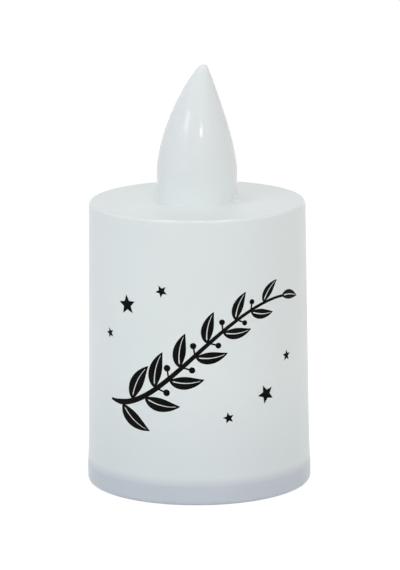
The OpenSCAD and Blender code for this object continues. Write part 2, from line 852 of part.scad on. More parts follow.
module resistor() {
    lead_r = resistor_lead_d / 2;
    color("#cdb38a") union() {
        translate([-resistor_l / 2, resistor_y, resistor_z]) rotate([0, 90, 0])
            cylinder(h = resistor_l, d = resistor_d - 2 * collar_swell);
        for (side = [-1, 1]) {
            translate([side * (resistor_l - collar_l) / 2 - collar_l / 2, resistor_y, resistor_z])
                rotate([0, 90, 0]) cylinder(h = collar_l, d = resistor_d);
            translate([side * resistor_pitch / 2, resistor_y, board_z - lap])
                cylinder(h = resistor_z - board_z + lap, r = lead_r);
            translate([side * resistor_pitch / 2, resistor_y, resistor_z]) sphere(lead_r);
        }
        translate([-resistor_pitch / 2, resistor_y, resistor_z]) rotate([0, 90, 0])
            cylinder(h = resistor_pitch, r = lead_r);
    }
}

module board_screws() {
    color("#b8bbbe") for (side = [-1, 1]) translate([side * screw_pitch / 2, board_y, 0]) difference() {
        union() {
            translate([0, 0, board_top - screw_l]) cylinder(h = screw_l + lap, d = screw_d);
            translate([0, 0, board_top]) cylinder(h = screw_head_h, d = screw_head_d);
        }
        for (turn = [0, 90]) rotate(turn)
            block(cross_l, cross_w, board_top + screw_head_h - cross_d, board_top + screw_head_h + lap);
    }
}

// Slide switch: sheet frame, terminal plate, pins, sliding lever with its wiper, and the outer button

module switch_frame() {
    lever_slot = lever_side + travel + 2 * fit_gap;
    color("#b9bcc0") translate([0, board_y, 0]) {
        difference() {
            block(frame_l, frame_w, frame_z, frame_top);
            block(frame_in_l, frame_in_w, frame_z + frame_t, frame_top + lap);
            block(lever_slot, lever_side + 2 * fit_gap, frame_z - lap, frame_z + frame_t + lap);
        }
        for (side = [-1, 1]) translate([side * (frame_tab_x + frame_t / 2), 0, 0])
            block(frame_t, frame_tab_l, frame_top - lap, pin_top);
    }
}

module pin_row(grow, z_low, z_high) {
    for (i = [0:pin_count - 1]) translate([(i - 1) * pin_pitch, board_y, 0])
        block(pin_side + 2 * grow, pin_side + 2 * grow, z_low, z_high);
}

module terminal_plate() {
    color("#6b4a2b") difference() {
        translate([0, board_y, 0])
            block(frame_in_l - 2 * snug_gap, frame_in_w - 2 * snug_gap, terminal_z, frame_top);
        pin_row(snug_gap, terminal_z - lap, frame_top + lap);
    }
}

module switch_pins() {
    color("silver") pin_row(0, terminal_z, pin_top);
}

module switch_lever() {
    color("#1c1c1e") translate([rest_x, board_y, 0]) {
        block(carriage_l, carriage_w, carriage_z, carriage_z + carriage_h);
        block(lever_side, lever_side, lever_end, carriage_z + lap);
    }
}

// A strip on the lever, with two arches that bridge neighbouring pins
module switch_wiper() {
    wiper_l = pin_pitch + 2 * wiper_h;
    place = [rest_x, board_y + wiper_w / 2, wiper_z];
    color("#c79a4a") translate(place) rotate([90, 0, 0]) linear_extrude(wiper_w) {
        translate([-wiper_l / 2, 0]) square([wiper_l, wiper_t]);
        for (side = [-1, 1]) translate([side * pin_pitch / 2, 0]) intersection() {
            difference() {
                circle(wiper_h);
                circle(wiper_h - wiper_t);
            }
            translate([-wiper_h, 0]) square([2 * wiper_h, wiper_h]);
        }
    }
}

module switch_button() {
    color("#2a2a2d") translate([rest_x, board_y, 0]) difference() {
        union() {
            block(button_l, button_w, button_rise, button_flange_z + lap);
            block(button_flange_l, button_flange_w, button_flange_z, button_flange_top);
        }
        block(lever_side + 2 * fit_gap, lever_side + 2 * fit_gap, pocket_floor, button_flange_top + lap);
        for (i = [0:grip_count - 1])
            translate([(i - (grip_count - 1) / 2) * grip_pitch, 0, 0])
                block(grip_w, button_w + 2 * lap, button_rise - lap, button_rise + grip_h);
    }
}

candle_body();
flame();
flame_retainer();
led_lens();
led_leads();
lead_sleeves();
led_wire_red();
led_wire_black();
base_cap();
battery_door();
for (i = [1:cell_count]) button_cell(i);
cell_spring();
negative_contact();
positive_contact();
battery_wire_red();
battery_wire_black();
circuit_board();
resistor();
board_screws();
switch_frame();
terminal_plate();
switch_pins();
switch_lever();
switch_wiper();
switch_button();
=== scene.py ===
import math

import bmesh
import bpy
from mathutils import Matrix, Vector


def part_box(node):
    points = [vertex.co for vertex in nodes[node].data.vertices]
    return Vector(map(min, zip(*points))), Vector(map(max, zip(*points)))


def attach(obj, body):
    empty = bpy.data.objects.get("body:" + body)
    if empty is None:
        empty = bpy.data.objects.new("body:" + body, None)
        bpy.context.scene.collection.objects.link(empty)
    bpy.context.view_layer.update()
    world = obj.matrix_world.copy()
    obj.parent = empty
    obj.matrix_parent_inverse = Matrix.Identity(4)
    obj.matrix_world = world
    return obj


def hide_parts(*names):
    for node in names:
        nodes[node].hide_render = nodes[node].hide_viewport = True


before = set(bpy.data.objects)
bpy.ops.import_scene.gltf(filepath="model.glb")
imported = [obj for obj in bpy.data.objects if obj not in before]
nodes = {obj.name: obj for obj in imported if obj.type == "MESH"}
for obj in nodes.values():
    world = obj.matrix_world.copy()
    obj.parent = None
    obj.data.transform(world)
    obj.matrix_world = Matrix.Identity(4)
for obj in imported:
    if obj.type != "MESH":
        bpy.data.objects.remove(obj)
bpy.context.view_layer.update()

scene = bpy.context.scene


# Base cap: the foot ring, floor, snap spigot and battery bay, one polypropylene moulding.
# It is a cooler, greyer white than the body, and its band shows all round under the body.

def new_finish(name):
    finish = bpy.data.materials.new(name)
    finish.use_nodes = True
    return finish, finish.node_tree, finish.node_tree.nodes["Principled BSDF"]


def wire_up(tree, source, output, target, entry):
    tree.links.new(source.outputs[output], target.inputs[entry])


def object_noise(tree, scale, detail=2.0, stretch=(1, 1, 1)):
    place = tree.nodes.new("ShaderNodeTexCoord")
    squeeze = tree.nodes.new("ShaderNodeMapping")
    squeeze.inputs["Scale"].default_value = stretch
    noise = tree.nodes.new("ShaderNodeTexNoise")
    noise.inputs["Scale"].default_value = scale
    noise.inputs["Detail"].default_value = detail
    wire_up(tree, place, "Object", squeeze, "Vector")
    wire_up(tree, squeeze, "Vector", noise, "Vector")
    return noise


def object_place(tree):
    place = tree.nodes.new("ShaderNodeTexCoord")
    split = tree.nodes.new("ShaderNodeSeparateXYZ")
    wire_up(tree, place, "Object", split, "Vector")
    return split


def ramp_between(tree, source, output, dark, light, start=0.35, end=0.65):
    ramp = tree.nodes.new("ShaderNodeValToRGB")
    ramp.color_ramp.elements[0].position = start
    ramp.color_ramp.elements[0].color = (*dark, 1)
    ramp.color_ramp.elements[1].position = end
    ramp.color_ramp.elements[1].color = (*light, 1)
    wire_up(tree, source, output, ramp, "Fac")
    return ramp


def share_between(tree, source, output, start, end, at_start=0.0, at_end=1.0):
    share = tree.nodes.new("ShaderNodeMapRange")
    share.interpolation_type = "SMOOTHSTEP"
    share.inputs["From Min"].default_value = start
    share.inputs["From Max"].default_value = end
    share.inputs["To Min"].default_value = at_start
    share.inputs["To Max"].default_value = at_end
    wire_up(tree, source, output, share, "Value")
    return share


def blend_colours(tree, share, first, second):
    # In a mix node, entries 2 and 3 and output 0 are for numbers, and 6, 7 and output 2 for colours.
    blend = tree.nodes.new("ShaderNodeMix")
    blend.data_type = "RGBA"
    wire_up(tree, share, "Result", blend, 0)
    for entry, colour in ((blend.inputs[6], first), (blend.inputs[7], second)):
        if isinstance(colour, tuple):
            entry.default_value = (*colour, 1)
        else:
            tree.links.new(colour, entry)
    return blend.outputs[2]


def roughness_between(tree, shader, scale, low, high, detail=2.0, stretch=(1, 1, 1)):
    noise = object_noise(tree, scale, detail, stretch)
    spread = share_between(tree, noise, "Fac", start=0.3, end=0.7, at_start=low, at_end=high)
    wire_up(tree, spread, "Result", shader, "Roughness")


def bump_from_noise(tree, shader, scale, depth, detail=2.0, stretch=(1, 1, 1)):
    noise = object_noise(tree, scale, detail, stretch)
    bump = tree.nodes.new("ShaderNodeBump")
    bump.inputs["Strength"].default_value = 1.0
    bump.inputs["Distance"].default_value = depth
    wire_up(tree, noise, "Fac", bump, "Height")
    wire_up(tree, bump, "Normal", shader, "Normal")


def milky_plastic(name, shade, light, roughness, gloss, scatter, painted_shades=()):
    finish, tree, shader = new_finish(name)
    uneven = 0.03
    cloud = object_noise(tree, scale=40)
    tint = ramp_between(tree, cloud, "Fac", shade, light, start=0.2, end=0.8).outputs["Color"]
    # Each fade paints shade into the colour: below its heights the colour turns towards a darker one.
    for low_z, high_z, painted_colour_below in painted_shades:
        rise = share_between(tree, object_place(tree), "Z", low_z, high_z)
        tint = blend_colours(tree, rise, painted_colour_below, tint)
    tree.links.new(tint, shader.inputs["Base Color"])
    shader.inputs["Subsurface Weight"].default_value = scatter
    shader.inputs["Subsurface Radius"].default_value = (1.0, 1.0, 0.95)
    shader.inputs["Subsurface Scale"].default_value = 0.0005
    shader.inputs["IOR"].default_value = 1.49
    shader.inputs["Specular IOR Level"].default_value = gloss
    roughness_between(tree, shader, scale=160, low=roughness - uneven, high=roughness + uneven)
    bump_from_noise(tree, shader, scale=200, depth=0.000001)
    return finish


def paint_node(finish, *names):
    for name in names:
        for holder in nodes[name].material_slots:
            holder.material = finish


band_grey = (0.60, 0.645, 0.70)
band_pale = (0.62, 0.665, 0.72)
base_white = milky_plastic("base_white", band_grey, band_pale, roughness=0.34, gloss=0.2, scatter=0.2)
paint_node(base_white, "base_cap")


# Battery contacts: two tinned spring-steel plates that stand in the ends of the bay.
# The conical spring on the negative plate is wound from tinned wire and pushes the cells together.

def tint_between(tree, shader, scale, dark, light, detail=2.0, stretch=(1, 1, 1)):
    noise = object_noise(tree, scale, detail, stretch)
    tint = ramp_between(tree, noise, "Fac", dark, light)
    wire_up(tree, tint, "Color", shader, "Base Color")


def bare_metal(name, dark, light, roughness, grain_scale, grain_depth, stretch=(1, 1, 1)):
    finish, tree, shader = new_finish(name)
    uneven = 0.08
    patch_scale = 0.4 * grain_scale
    grain = {"detail": 3.0, "stretch": stretch}
    tint_between(tree, shader, grain_scale, dark, light, **grain)
    shader.inputs["Metallic"].default_value = 1.0
    roughness_between(tree, shader, patch_scale, roughness - uneven, roughness + uneven, **grain)
    bump_from_noise(tree, shader, grain_scale, grain_depth, **grain)
    return finish


def finish_piece(name, shape, finish, sharp_angle=35):
    mesh = bpy.data.meshes.new(name)
    shape.to_mesh(mesh)
    shape.free()
    mesh.shade_smooth()
    mesh.set_sharp_from_angle(angle=math.radians(sharp_angle))
    mesh.materials.append(finish)
    piece = bpy.data.objects.new(name, mesh)
    scene.collection.objects.link(piece)
    return piece


copy_weld = 0.000002


def merged_copy(node):
    # The stored normals belong to the loose triangles, so the copy goes without them.
    shape = bmesh.new()
    source = nodes[node].data.copy()
    if "custom_normal" in source.attributes:
        source.attributes.remove(source.attributes["custom_normal"])
    shape.from_mesh(source)
    bpy.data.meshes.remove(source)
    bmesh.ops.remove_doubles(shape, verts=shape.verts[:], dist=copy_weld)
    return shape


def put_in_place(piece, node, body):
    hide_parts(node)
    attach(piece, body)


tinned_metal = bare_metal("tinned_metal", (0.62, 0.62, 0.60), (0.78, 0.78, 0.76), roughness=0.30,
                          grain_scale=1400, grain_depth=0.000002)
paint_node(tinned_metal, "negative_contact", "positive_contact")
spring_coil = finish_piece("spring_coil", merged_copy("cell_spring"), tinned_metal, sharp_angle=70)
put_in_place(spring_coil, "cell_spring", "candle")


# Slide switch: a folded steel frame round a black carriage, closed by a brown phenolic plate.
# A brass wiper on the carriage bridges two of the three pins in the plate.
# The tabs of the frame are bent over the board.

def moulded_black(name, dark, light, roughness, gloss=0.5):
    finish, tree, shader = new_finish(name)
    uneven = 0.06
    tint_between(tree, shader, scale=500, dark=dark, light=light)
    shader.inputs["Specular IOR Level"].default_value = gloss
    roughness_between(tree, shader, scale=900, low=roughness - uneven, high=roughness + uneven)
    bump_from_noise(tree, shader, scale=5000, depth=0.000012)
    return finish


def phenolic_board(name, dark, light):
    finish, tree, shader = new_finish(name)
    fibres = (1, 6, 1)
    tint_between(tree, shader, scale=1500, dark=dark, light=light, detail=4.0, stretch=fibres)
    roughness_between(tree, shader, scale=1500, low=0.48, high=0.62, detail=3.0, stretch=fibres)
    bump_from_noise(tree, shader, scale=2500, depth=0.000006, detail=3.0, stretch=fibres)
    return finish


rolled = (1, 8, 8)
switch_steel = bare_metal("switch_steel", (0.50, 0.51, 0.53), (0.66, 0.67, 0.69), roughness=0.34,
                          grain_scale=1600, grain_depth=0.000003, stretch=rolled)
wiper_brass = bare_metal("wiper_brass", (0.58, 0.40, 0.15), (0.72, 0.53, 0.24), roughness=0.28,
                         grain_scale=1500, grain_depth=0.000002, stretch=rolled)
terminal_brown = phenolic_board("terminal_brown", (0.16, 0.085, 0.04), (0.27, 0.15, 0.075))
switch_black = moulded_black("switch_black", (0.018, 0.018, 0.020), (0.034, 0.034, 0.036), roughness=0.44)
paint_node(switch_steel, "switch_frame")
paint_node(terminal_brown, "terminal_plate")
paint_node(tinned_metal, "switch_pins")
paint_node(switch_black, "switch_lever")
paint_node(wiper_brass, "switch_wiper")


# Switch button: a black moulded cap on the lever, with grip grooves across its end.
# Its edges are eased as they come from the mould, and it slides in a shallow well in the floor.

def eased_copy(node, easing):
    flat_angle, edge_angle = math.radians(1), math.radians(40)
    shape = merged_copy(node)
    bmesh.ops.dissolve_limit(shape, angle_limit=flat_angle, verts=shape.verts[:], edges=shape.edges[:])
    edges = [edge for edge in shape.edges if edge.is_manifold and edge.calc_face_angle() > edge_angle]
    bmesh.ops.bevel(shape, geom=edges, offset=easing, offset_type="OFFSET", segments=2, profile=0.5,
                    affect="EDGES", clamp_overlap=True, material=-1)
    bmesh.ops.dissolve_degenerate(shape, dist=copy_weld, edges=shape.edges[:])
    return shape


mould_easing = 0.00012
button_shape = eased_copy("switch_button", mould_easing)
button_cap = finish_piece("button_cap", button_shape, switch_black, sharp_angle=50)
put_in_place(button_cap, "switch_button", "switch")


# Circuit board: glass-fibre laminate under green lacquer, held on two posts by cross-head screws.
# One carbon-film resistor with painted bands stands on it in series with the LED.

def lacquered_board(name, dark, light):
    finish, tree, shader = new_finish(name)
    place = tree.nodes.new("ShaderNodeTexCoord")
    cloth = tree.nodes.new("ShaderNodeMath")
    cloth.operation = "MULTIPLY"
    for entry, direction in enumerate(("X", "Y")):
        threads = tree.nodes.new("ShaderNodeTexWave")
        threads.bands_direction = direction
        threads.inputs["Scale"].default_value = 420
        threads.inputs["Distortion"].default_value = 0.6
        wire_up(tree, place, "Object", threads, "Vector")
        wire_up(tree, threads, "Fac", cloth, entry)
    tint = ramp_between(tree, cloth, "Value", dark, light, start=0.0, end=1.0)
    wire_up(tree, tint, "Color", shader, "Base Color")
    shader.inputs["Coat Weight"].default_value = 0.4
    roughness_between(tree, shader, scale=700, low=0.28, high=0.42)
    bump_from_noise(tree, shader, scale=2200, depth=0.000004)
    return finish


def banded_resistor(name, middle_x, body_l):
    finish, tree, shader = new_finish(name)
    tan, tin, brown, black, gold = ((0.62, 0.47, 0.28), (0.62, 0.62, 0.60), (0.20, 0.07, 0.02),
                                    (0.012, 0.012, 0.012), (0.55, 0.38, 0.08))
    stops = [(0.0, tin), (0.12, tan), (0.22, brown), (0.29, tan), (0.40, black), (0.47, tan),
             (0.53, brown), (0.60, tan), (0.74, gold), (0.81, tan), (0.88, tin)]
    rings = tree.nodes.new("ShaderNodeValToRGB")
    rings.color_ramp.interpolation = "CONSTANT"
    for place, colour in stops[2:]:
        rings.color_ramp.elements.new(place)
    for stop, (place, colour) in zip(rings.color_ramp.elements, stops):
        stop.position = place
        stop.color = (*colour, 1)
    body_share = stops[-1][0] - stops[1][0]
    half_l = body_l / body_share / 2
    along = tree.nodes.new("ShaderNodeMapRange")
    along.inputs["From Min"].default_value = middle_x - half_l
    along.inputs["From Max"].default_value = middle_x + half_l
    wire_up(tree, object_place(tree), "X", along, "Value")
    wire_up(tree, along, "Result", rings, "Fac")
    wire_up(tree, rings, "Color", shader, "Base Color")
    roughness_between(tree, shader, scale=900, low=0.30, high=0.42)
    bump_from_noise(tree, shader, scale=1800, depth=0.00001)
    return finish


board_green = lacquered_board("board_green", (0.012, 0.085, 0.030), (0.030, 0.150, 0.055))
screw_zinc = bare_metal("screw_zinc", (0.52, 0.53, 0.55), (0.68, 0.69, 0.71), roughness=0.32,
                        grain_scale=1800, grain_depth=0.000003)
resistor_low, resistor_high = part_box("resistor")
resistor_body_l = 0.0038
resistor_tan = banded_resistor("resistor_tan", (resistor_low.x + resistor_high.x) / 2, resistor_body_l)
paint_node(board_green, "circuit_board")
paint_node(screw_zinc, "board_screws")
series_resistor = finish_piece("series_resistor", merged_copy("resistor"), resistor_tan)
put_in_place(series_resistor, "resistor", "candle")


# Wires: stranded copper in soft vinyl, red for positive and black for negative.
# Two run from the contacts to the board and two from the board up to the LED.

def soft_vinyl(name, dark, light):
    finish, tree, shader = new_finish(name)
    tint_between(tree, shader, scale=300, dark=dark, light=light)
    shader.inputs["Sheen Weight"].default_value = 0.08
    roughness_between(tree, shader, scale=700, low=0.40, high=0.52)
    bump_from_noise(tree, shader, scale=3000, depth=0.000006)
    return finish


wire_red = soft_vinyl("wire_red", (0.36, 0.018, 0.012), (0.46, 0.030, 0.020))
wire_black = soft_vinyl("wire_black", (0.014, 0.014, 0.015), (0.026, 0.026, 0.028))
for run in ("battery", "led"):
    for colour, vinyl in (("red", wire_red), ("black", wire_black)):
        node = f"{run}_wire_{colour}"
        strand = finish_piece(f"{run}_lead_{colour}", merged_copy(node), vinyl, sharp_angle=70)
        put_in_place(strand, node, "candle")


# Button cells: three standard alkaline cells in a row, nickel-plated steel cans crimped on a gasket.
# The turning marks of the plating run round each can.

turned = (10, 1, 1)
cell_steel = bare_metal("cell_steel", (0.56, 0.57, 0.58), (0.74, 0.75, 0.76), roughness=0.26,
                        grain_scale=1100, grain_depth=0.000002, stretch=turned)
paint_node(cell_steel, "button_cell_1", "button_cell_2", "button_cell_3")


# Battery door: a polypropylene skin with a ribbed plug, two hooks at one end and a grooved thumb pad.
# It is moulded in the same cool white as the base, with eased edges.

door_shape = eased_copy("battery_door", mould_easing)
door_panel = finish_piece("door_panel", door_shape, base_white, sharp_angle=50)
put_in_place(door_panel, "battery_door", "door")


# Switch marks: the words ON and OFF, raised on the floor at the two ends of the switch well.
# They are part of the base moulding, cut into its mould, and read from below.

mark_height = 0.0019
mark_raise = 0.00015
mark_sink = 0.00003
mark_reach = 0.0077
mark_easing = 0.00003
mark_weld = 0.0000005
cap_share = 0.7
face_down = Matrix.Rotation(math.pi, 3, "X")
floor_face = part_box("battery_door")[0].z
button_low, button_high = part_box("switch_button")
switch_line_y = (button_low.y + button_high.y) / 2
for word, side in (("OFF", -1), ("ON", 1)):
    letters = bpy.data.curves.new(f"letters_{word}", "FONT")
    letters.body = word
    letters.size = mark_height / cap_share
    letters.align_x = "CENTER"
    letters.align_y = "CENTER"
    letters.extrude = (mark_raise + mark_sink) / 2 - mark_easing
    letters.bevel_depth = mark_easing
    letters.bevel_resolution = 1
    pattern = bpy.data.objects.new(f"pattern_{word}", letters)
    scene.collection.objects.link(pattern)
    cast = bpy.data.meshes.new_from_object(pattern)
    bpy.data.objects.remove(pattern)
    mark = bmesh.new()
    mark.from_mesh(cast)
    bpy.data.meshes.remove(cast)
    bmesh.ops.remove_doubles(mark, verts=mark.verts[:], dist=mark_weld)
    bmesh.ops.rotate(mark, cent=(0, 0, 0), matrix=face_down, verts=mark.verts[:])
    place = Vector((side * mark_reach, switch_line_y, floor_face - (mark_raise - mark_sink) / 2))
    bmesh.ops.translate(mark, vec=place, verts=mark.verts[:])
    raised_mark = finish_piece(f"mark_{word.lower()}", mark, base_white, sharp_angle=30)
    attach(raised_mark, "candle")


# LED: a five-millimetre warm lens cast in clear epoxy round two tinned leads.
# Black shrink sleeves cover the joints to its wires.

led_epoxy, led_tree, led_shader = new_finish("led_epoxy")
tint_between(led_tree, led_shader, scale=400, dark=(0.90, 0.80, 0.48), light=(0.95, 0.89, 0.66))
led_shader.inputs["Transmission Weight"].default_value = 0.65
led_shader.inputs["IOR"].default_value = 1.53
roughness_between(led_tree, led_shader, scale=500, low=0.05, high=0.10)
sleeve_black = soft_vinyl("sleeve_black", (0.012, 0.012, 0.013), (0.024, 0.024, 0.026))
led_bulb = finish_piece("led_bulb", merged_copy("led_lens"), led_epoxy)
put_in_place(led_bulb, "led_lens", "candle")
paint_node(tinned_metal, "led_leads")
paint_node(sleeve_black, "lead_sleeves")


# Flame retainer: a natural-white nylon disc that clicks into the collar under the top.
# It presses the flange of the flame up against the top and carries the LED on its braced post.

inner_white = milky_plastic("inner_white", (0.76, 0.77, 0.75), (0.80, 0.81, 0.78),
                            roughness=0.42, gloss=0.4, scatter=0.2)
paint_node(inner_white, "flame_retainer")


# Candle body: a thin milky shell with a drafted wall, a swept-out foot and a rounded top edge.
# One injection moulding that snaps down over the base, with a hole and a collar for the flame.
# The wall and top are satin and the top edge is polished. The wall is painted darker towards the foot,
# and the foot darker still towards the band's grey, both as painted shade.

shell_foot, shell_top = (corner.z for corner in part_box("candle_body"))
shell_seat_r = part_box("candle_body")[1].x
base_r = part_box("base_cap")[1].x
shell_rim_r = 0.0221
shell_wall = 0.0016
shell_roof = 0.0018
shell_rim_round = 0.0007
shell_lip = 0.00025
shell_flare = 0.00015
shell_flare_h = 0.009
shell_line_r = shell_seat_r - shell_flare
shell_bore_r = shell_line_r - shell_wall
roof_under = shell_top - shell_roof
flare_top = shell_foot + shell_flare_h
flame_r = 0.00825
snug = 0.00001
shell_hole_r = flame_r + snug
collar_gap = 0.0001
collar_wall = 0.0014
collar_depth = 0.00155
collar_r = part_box("flame")[1].y + collar_gap
collar_out_r = collar_r + collar_wall
collar_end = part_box("flame_retainer")[0].z - collar_depth
groove_rise = 0.0034
groove_half = 0.0005
groove_depth = 0.00025
groove_z = shell_foot + groove_rise
shell_turn_steps = 160
flare_cuts = 12
rim_cuts = 10
lip_cuts = 10
seam_weld = 0.0000001


def shell_radius(z):
    along = (shell_top - z) / (shell_top - shell_foot)
    reach = max(0.0, flare_top - z) / shell_flare_h
    return shell_rim_r + (shell_line_r - shell_rim_r) * along + shell_flare * reach * reach


def profile_mesh(points, closed):
    shape = bmesh.new()
    corners = [shape.verts.new((r, 0, z)) for r, z in points]
    followers = corners[1:] + corners[:1] if closed else corners[1:]
    for start, end in zip(corners, followers):
        shape.edges.new((start, end))
    return shape


def arc_points(centre_r, centre_z, reach_r, reach_z, start, end, steps):
    angles = [math.radians(start + (end - start) * step / steps) for step in range(steps + 1)]
    return [(centre_r + reach_r * math.cos(angle), centre_z + reach_z * math.sin(angle))
            for angle in angles]


def round_corner(shape, r, z, radius, segments):
    corner = min(shape.verts, key=lambda point: (point.co - Vector((r, 0, z))).length)
    bmesh.ops.bevel(shape, geom=[corner], offset=radius, offset_type="OFFSET", segments=segments,
                    profile=0.5, affect="VERTICES", material=-1)


def turn_profile(shape, steps):
    bmesh.ops.spin(shape, geom=shape.verts[:] + shape.edges[:], axis=(0, 0, 1), cent=(0, 0, 0),
                   angle=2 * math.pi, steps=steps, use_merge=True)
    bmesh.ops.remove_doubles(shape, verts=shape.verts[:], dist=seam_weld)
    bmesh.ops.recalc_face_normals(shape, faces=shape.faces[:])


flare_heights = [shell_foot + shell_flare_h * cut / flare_cuts for cut in range(1, flare_cuts + 1)]
outside = ([(shell_bore_r, shell_foot), (base_r - snug, shell_foot)]
           + [(shell_radius(z), z) for z in flare_heights]
           + [(shell_rim_r, shell_top)])
flame_hole = arc_points(shell_hole_r + shell_lip, shell_top + shell_lip, shell_lip, shell_lip,
                        start=270, end=180, steps=lip_cuts)
inside = [(shell_hole_r, roof_under), (collar_r, roof_under), (collar_r, collar_end),
          (collar_out_r, collar_end), (collar_out_r, roof_under), (shell_rim_r - shell_wall, roof_under),
          (shell_bore_r, flare_top), (shell_bore_r, groove_z + groove_half),
          (shell_bore_r + groove_depth, groove_z), (shell_bore_r, groove_z - groove_half)]
shell = profile_mesh(outside + flame_hole + inside, closed=True)
round_corner(shell, shell_rim_r, shell_top, shell_rim_round, rim_cuts)
turn_profile(shell, shell_turn_steps)


def polish_edge(finish, edge_r, edge_z, width, roughness):
    tree = finish.node_tree
    shader = tree.nodes["Principled BSDF"]
    satin = shader.inputs["Roughness"].links[0].from_socket
    place = tree.nodes.new("ShaderNodeTexCoord")
    flat = tree.nodes.new("ShaderNodeVectorMath")
    flat.operation = "MULTIPLY"
    flat.inputs[1].default_value = (1, 1, 0)
    reach = tree.nodes.new("ShaderNodeVectorMath")
    reach.operation = "LENGTH"
    wire_up(tree, place, "Object", flat, 0)
    wire_up(tree, flat, "Vector", reach, 0)
    full_r, full_z = edge_r - 0.3 * width, edge_z - 0.5 * width
    near_r = share_between(tree, reach, "Value", edge_r - width, full_r)
    near_z = share_between(tree, object_place(tree), "Z", edge_z - width, full_z)
    polish = tree.nodes.new("ShaderNodeMath")
    polish.operation = "MULTIPLY"
    wire_up(tree, near_r, "Result", polish, 0)
    wire_up(tree, near_z, "Result", polish, 1)
    gleam = tree.nodes.new("ShaderNodeMix")
    wire_up(tree, polish, "Value", gleam, 0)
    tree.links.new(satin, gleam.inputs[2])
    gleam.inputs[3].default_value = roughness
    wire_up(tree, gleam, 0, shader, "Roughness")


# Painted shade: from this height down to the foot the wall's colour is painted darker, standing in for
# less light low down.
painted_shade_top = 0.028
painted_shade_colour = (0.74, 0.80, 0.81)
# Painted shade: the last millimetres of the foot are painted towards the band's grey, in place of the
# shading at the seam.
painted_foot_shade_height = 0.0020
painted_foot_shade_below = 0.0002
shell_white = milky_plastic("shell_white", (0.82, 0.875, 0.87), (0.84, 0.895, 0.89),
                            roughness=0.38, gloss=0.5, scatter=0.0,
                            painted_shades=((shell_foot, painted_shade_top, painted_shade_colour),
                                   (shell_foot - painted_foot_shade_below, shell_foot + painted_foot_shade_height, band_pale)))
polish_edge(shell_white, shell_rim_r, shell_top, width=shell_rim_round, roughness=0.08)
candle_shell = finish_piece("candle_shell", shell, shell_white)
put_in_place(candle_shell, "candle_body", "candle")


# Printed sprig: one colour of black ink, pad-printed on the front of the body in a thin raised film.
# A stem sweeps up to the right with paired leaves and berries, and small stars fill the corners.

mm = 0.001
ink_film = 0.00002
ink_weld = 0.000004
# The sprig is drawn flat, in millimetres across the front and up, and then wrapped round the body.
stem_curve = ((-20, 20.5), (-7, 17.5), (3, 42.5), (20, 41.5))
stem_thick = 0.62 * mm
stem_taper = 0.36 * mm
stem_end_share = 0.35
stem_end_rise = 9
root_share = 0.6
leaf_pairs = 6
first_pair = 0.12
pair_step = 0.145
pair_stagger = 0.035
leaf_l = 8.6 * mm
leaf_w = 1.62 * mm
leaf_shrink = 0.42
leaf_spread = 0.95
leaf_spread_loss = 0.25
leaf_bend = 0.7
leaf_belly = 0.8
leaf_fullness = 0.9
rib_half = 0.13 * mm
rib_start = 0.12
rib_end = 0.9
berry_offset = 0.08
berry_spread = 1.0
berry_r = 0.78 * mm
berry_sink = 0.8
stalk_l = 1.5 * mm
stalk_half = 0.17 * mm
tip_leaf_root = 0.985
sprig = bmesh.new()


def lay_patch(cuts_along, cuts_across, place):
    patch = bmesh.ops.create_grid(sprig, x_segments=cuts_along, y_segments=cuts_across, size=0.5)
    for point in patch["verts"]:
        point.co = place(min(1.0, max(0.0, point.co.x + 0.5)), 2 * point.co.y)


def facing(angle):
    return Vector((math.cos(angle), math.sin(angle), 0))


def stem_at(along):
    rest = 1 - along
    pulls = (rest ** 3, 3 * rest ** 2 * along, 3 * rest * along * along, along ** 3)
    points = [Vector((*point, 0)) * mm for point in stem_curve]
    return sum((pull * point for pull, point in zip(pulls, points)), Vector((0, 0, 0)))


def stem_heading(along):
    near = 0.01
    step = stem_at(min(1, along + near)) - stem_at(max(0, along - near))
    return math.atan2(step.y, step.x)


def stem_half(along):
    return (stem_thick - stem_taper * along) * min(1, stem_end_share + stem_end_rise * along)


def stem_edge(along, side):
    outward = facing(stem_heading(along) + side * math.pi / 2)
    return stem_at(along) + outward * stem_half(along) * root_share


def lay_stem():
    def place(along, across):
        return stem_at(along) + facing(stem_heading(along) + math.pi / 2) * across * stem_half(along)
    lay_patch(cuts_along=60, cuts_across=2, place=place)


def lay_half_leaf(root, angle, length, width, bend, side):
    def place(along, across):
        spine = root + facing(angle - bend / 4 + bend * along / 2) * length * along
        outer = width * max(0.0, math.sin(math.pi * along ** leaf_belly)) ** leaf_fullness
        inner = min(rib_half * (1 - along) ** 0.5, outer) if rib_start < along < rib_end else 0
        reach = inner + (outer - inner) * (across + 1) / 2
        return spine + facing(angle + bend * (along - 0.5) + side * math.pi / 2) * reach
    lay_patch(cuts_along=22, cuts_across=3, place=place)


def lay_leaf(root, angle, length, width, bend):
    for side in (-1, 1):
        lay_half_leaf(root, angle, length, width, bend, side)


def lay_disc(centre, radius, corners=20, dent=1.0, turn=0.0):
    fan = bmesh.ops.create_circle(sprig, cap_ends=True, cap_tris=True, radius=radius,
                                  segments=corners)["verts"]
    for count, point in enumerate(fan):
        point.co *= 1 if count % 2 else dent
    bmesh.ops.rotate(sprig, cent=(0, 0, 0), matrix=Matrix.Rotation(turn, 3, "Z"), verts=fan)
    bmesh.ops.translate(sprig, vec=centre, verts=fan)
    spokes = dict.fromkeys(edge for point in fan for edge in point.link_edges)
    bmesh.ops.subdivide_edges(sprig, edges=list(spokes), cuts=1, use_grid_fill=True)


def lay_berry(root, angle, stalk, radius):
    tip = root + facing(angle) * stalk

    def place(along, across):
        return root.lerp(tip, along) + facing(angle + math.pi / 2) * across * stalk_half
    lay_patch(cuts_along=4, cuts_across=1, place=place)
    lay_disc(tip + facing(angle) * radius * berry_sink, radius)


